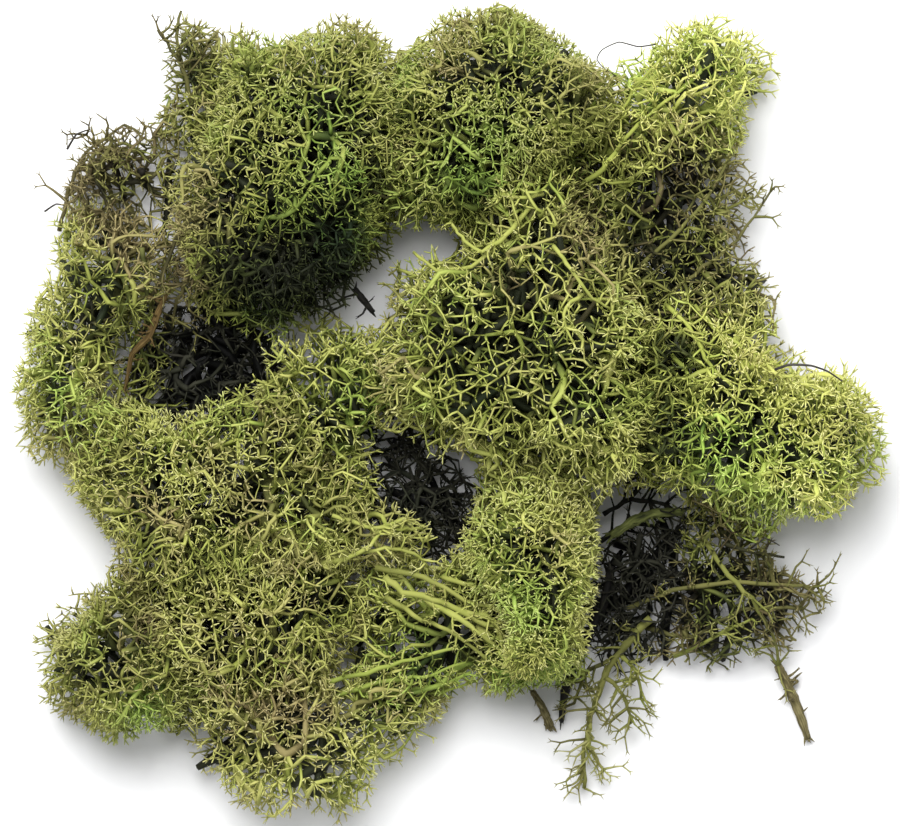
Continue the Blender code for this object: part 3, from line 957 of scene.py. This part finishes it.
def stalk(node, finish, seed, width, stubs, split, route):
    """One stalk: width in mm, a route of (x, y, z, share of the width), stubs and split ends."""
    draw = np.random.default_rng(seed)
    shape = new_shape()
    length = shape.verts.layers.float["length"]
    turned = shape.verts.layers.float["turn"]
    line = smoothed([knot[:3] for knot in route], 3)[0]
    share = np.array([[knot[3] for knot in route]])
    for _ in range(3):
        share = halfway(share)
    radius = width / 2 * mm * share[0] * draw.uniform(0.88, 1.12, len(line))
    tube(shape, line, radius, 10)
    ahead = unit(np.gradient(line, axis=0))
    for at in draw.integers(2, len(line) - 2, stubs):
        side = across(ahead[at], draw)
        side[2] = abs(side[2])
        reach = draw.uniform(1.2, 3.2) * mm
        way = unit(side + draw.uniform(-0.5, 0.7) * ahead[at])
        bow = swayed(way, 0.4, draw)
        steps = bent(line[at][None], way[None], (line[at] + reach * way)[None], bow[None], 4)[0]
        thick = radius[at] * draw.uniform(0.32, 0.5)
        tube(shape, steps, thick * np.array([1.1, 0.9, 0.75, 0.45]), 6)
        tip = steps[-1]
        for lean in (-0.6, 0.6):
            leave = unit(bow + lean * unit(np.cross(bow, ahead[at])))
            tube(shape, [steps[-2], tip + 0.5 * mm * leave, tip + 1.2 * mm * leave],
                 thick * np.array([0.6, 0.45, 0.2]), 5)
    for end, way in ((0, -ahead[0]), (-1, ahead[-1])):
        for _ in range(split[end]):
            leave = swayed(way, 0.35, draw)
            start = line[end] + draw.normal(0, 0.3, 3) * radius[end] - 0.6 * mm * way
            reach = draw.uniform(1.2, 2.6) * mm
            tube(shape, [start, start + 0.6 * reach * leave, start + reach * leave],
                 radius[end] * np.array([0.42, 0.3, 0.08]), 5)
    bmesh.ops.recalc_face_normals(shape, faces=shape.faces)
    shape.normal_update()
    for corner in shape.verts:
        corner.co += corner.normal * 0.11 * mm * noise.noise(corner.co / (0.9 * mm))
        corner.co.z = max(corner.co.z, lowest)
    bark_map = shape.loops.layers.uv.new("OFBake")
    for face in shape.faces:
        turns = [corner.vert[turned] for corner in face.loops]
        wraps = max(turns) - min(turns) > 0.5 and len(face.verts) == 4
        for corner, turn in zip(face.loops, turns):
            turn += 1.0 if wraps and turn < 0.5 else 0.0
            corner[bark_map].uv = (0.02 + 0.96 * corner.vert[length], 0.02 + 0.96 * turn)
    place_piece(mesh_of(shape, node + "_bark"), finish, node)


brown_bark = bark_finish(
    "Brown bark", ((0.024, 0.014, 0.005), (0.095, 0.060, 0.018), (0.2, 0.14, 0.050)))
grey_bark = bark_finish(
    "Dry bark", ((0.030, 0.024, 0.010), (0.13, 0.11, 0.045), (0.3, 0.26, 0.13)))
green_bark = bark_finish(
    "Green bark", ((0.016, 0.020, 0.006), (0.080, 0.092, 0.024), (0.17, 0.19, 0.055)))
black_bark = bark_finish(
    "Black bark", ((0.004, 0.004, 0.004), (0.010, 0.009, 0.008), (0.030, 0.026, 0.020)), rough=0.6)
stalk("stem_brown", brown_bark, 31, 1.6, 10, (3, 2), (
    (-58.6, 25, 24, 0.6), (-60.6, 20.5, 23, 0.9), (-62.5, 15.5, 22, 1.0), (-66, 12, 20, 0.8),
    (-67, 8, 18, 0.6), (-67.8, 4.5, 16, 0.4)))
stalk("twig_black", black_bark, 32, 1.5, 3, (4, 2), (
    (-19.5, 25.5, 15, 0.9), (-17.5, 23, 14, 1.0), (-15.6, 20.6, 13, 0.7)))
stalk("stalk_dark", black_bark, 33, 2.2, 4, (0, 3), (
    (34.5, -33, 9, 0.7), (32.8, -42, 6, 0.9), (28, -51, 3.5, 1.0), (25, -59.5, 2.2, 0.9),
    (24.2, -66, 1.4, 0.5)))
stalk("stalk_short", grey_bark, 34, 1.8, 2, (2, 6), (
    (18, -59.5, 3.4, 0.7), (20.2, -63, 2, 0.9), (21.8, -67, 1.3, 1.0)))
stalk("stalk_green", green_bark, 35, 2.2, 6, (3, 3), (
    (34.6, -26.5, 12, 0.8), (39, -23.6, 12, 1.0), (43.5, -21.8, 11, 1.0), (49.5, -21.5, 10, 0.8)))
stalk("stem_loose", grey_bark, 36, 2.3, 9, (2, 7), (
    (70, -54, 3.2, 0.8), (72, -58, 2.2, 0.9), (74.2, -63, 1.6, 1.0),
    (76.4, -69.5, 1.3, 0.6)))


# ---- The loose fibres ----
# Hairs and needles that are caught in the heap: a dark hair in a loop between the top tufts, a
# needle over the right tuft, and the broken ends of black twigs at the left and the right.
shape = new_shape()
for width, route in (
        (0.34, ((44, 76.5, 30), (40, 76, 28), (36, 77, 27), (32.5, 75.5, 25), (31.4, 73.5, 24),
                (33, 71.5, 24), (35.5, 70, 23))),
        (0.65, ((68, 8.4, 44), (71, 9.4, 45.5), (75.5, 9.2, 45.5), (79, 8, 44.5), (82, 6, 43))),
        (0.5, ((-85, 42, 8), (-82.5, 43.5, 10), (-80, 43, 9))),
        (0.55, ((-80, 55, 14), (-78, 58, 16), (-75.5, 59, 15))),
        (0.5, ((64, -29, 14), (67, -27, 16), (70, -28.5, 14)))):
    line = smoothed(route, 3)[0]
    tube(shape, line, width / 2 * mm * np.linspace(1.0, 0.5, len(line)), 5)
bmesh.ops.recalc_face_normals(shape, faces=shape.faces)
hair = Recipe("Dark hair")
place = hair.node("ShaderNodeTexCoord", output=3)
specks = hair.node("ShaderNodeTexNoise", {"Vector": place, "Scale": 900.0})
colour = hair.between(specks, (0.006, 0.006, 0.007, 1), (0.05, 0.04, 0.03, 1))
place_piece(mesh_of(shape, "loose_fibres"), hair.finish(colour, 0.6, 0.5))


# ---- The table, the lamp and the camera ----
# A white table under a large soft window, with the camera straight above it.
shape = bmesh.new()
bmesh.ops.create_grid(shape, x_segments=1, y_segments=1, size=2.0)
table_top = put("table_top", mesh_of(shape, "table_top"))
table_top.data.materials.append(Recipe("Paper").finish((0.88, 0.88, 0.89, 1), 0.9, 0.1))

room = bpy.data.worlds.new("room")
room.use_nodes = True
light = room.node_tree.nodes["Background"].inputs
light["Color"].default_value = (0.97, 0.98, 1.0, 1)
light["Strength"].default_value = 0.45
bpy.context.scene.world = room

lamp_data = bpy.data.lights.new("window", "AREA")
lamp_data.shape = "DISK"
lamp_data.size = 0.80
lamp_data.energy = 19.8
lamp = put("window", lamp_data)
lamp_distance = 1.1
aim = Vector((-0.15, 0.55, 1.2)).normalized()
lamp.location = aim * lamp_distance
lamp.rotation_euler = aim.to_track_quat("Z", "Y").to_euler()

camera_data = bpy.data.cameras.new("camera")
camera_data.sensor_width = 36
frame_width, subject_height, camera_height = 0.1884, 0.026, 2.0
camera_data.lens = camera_data.sensor_width * (camera_height - subject_height) / frame_width
camera = put("camera", camera_data)
camera.location = (0.0006, -0.0006, camera_height)
bpy.context.scene.camera = camera
bpy.context.scene.view_settings.view_transform = "Standard"
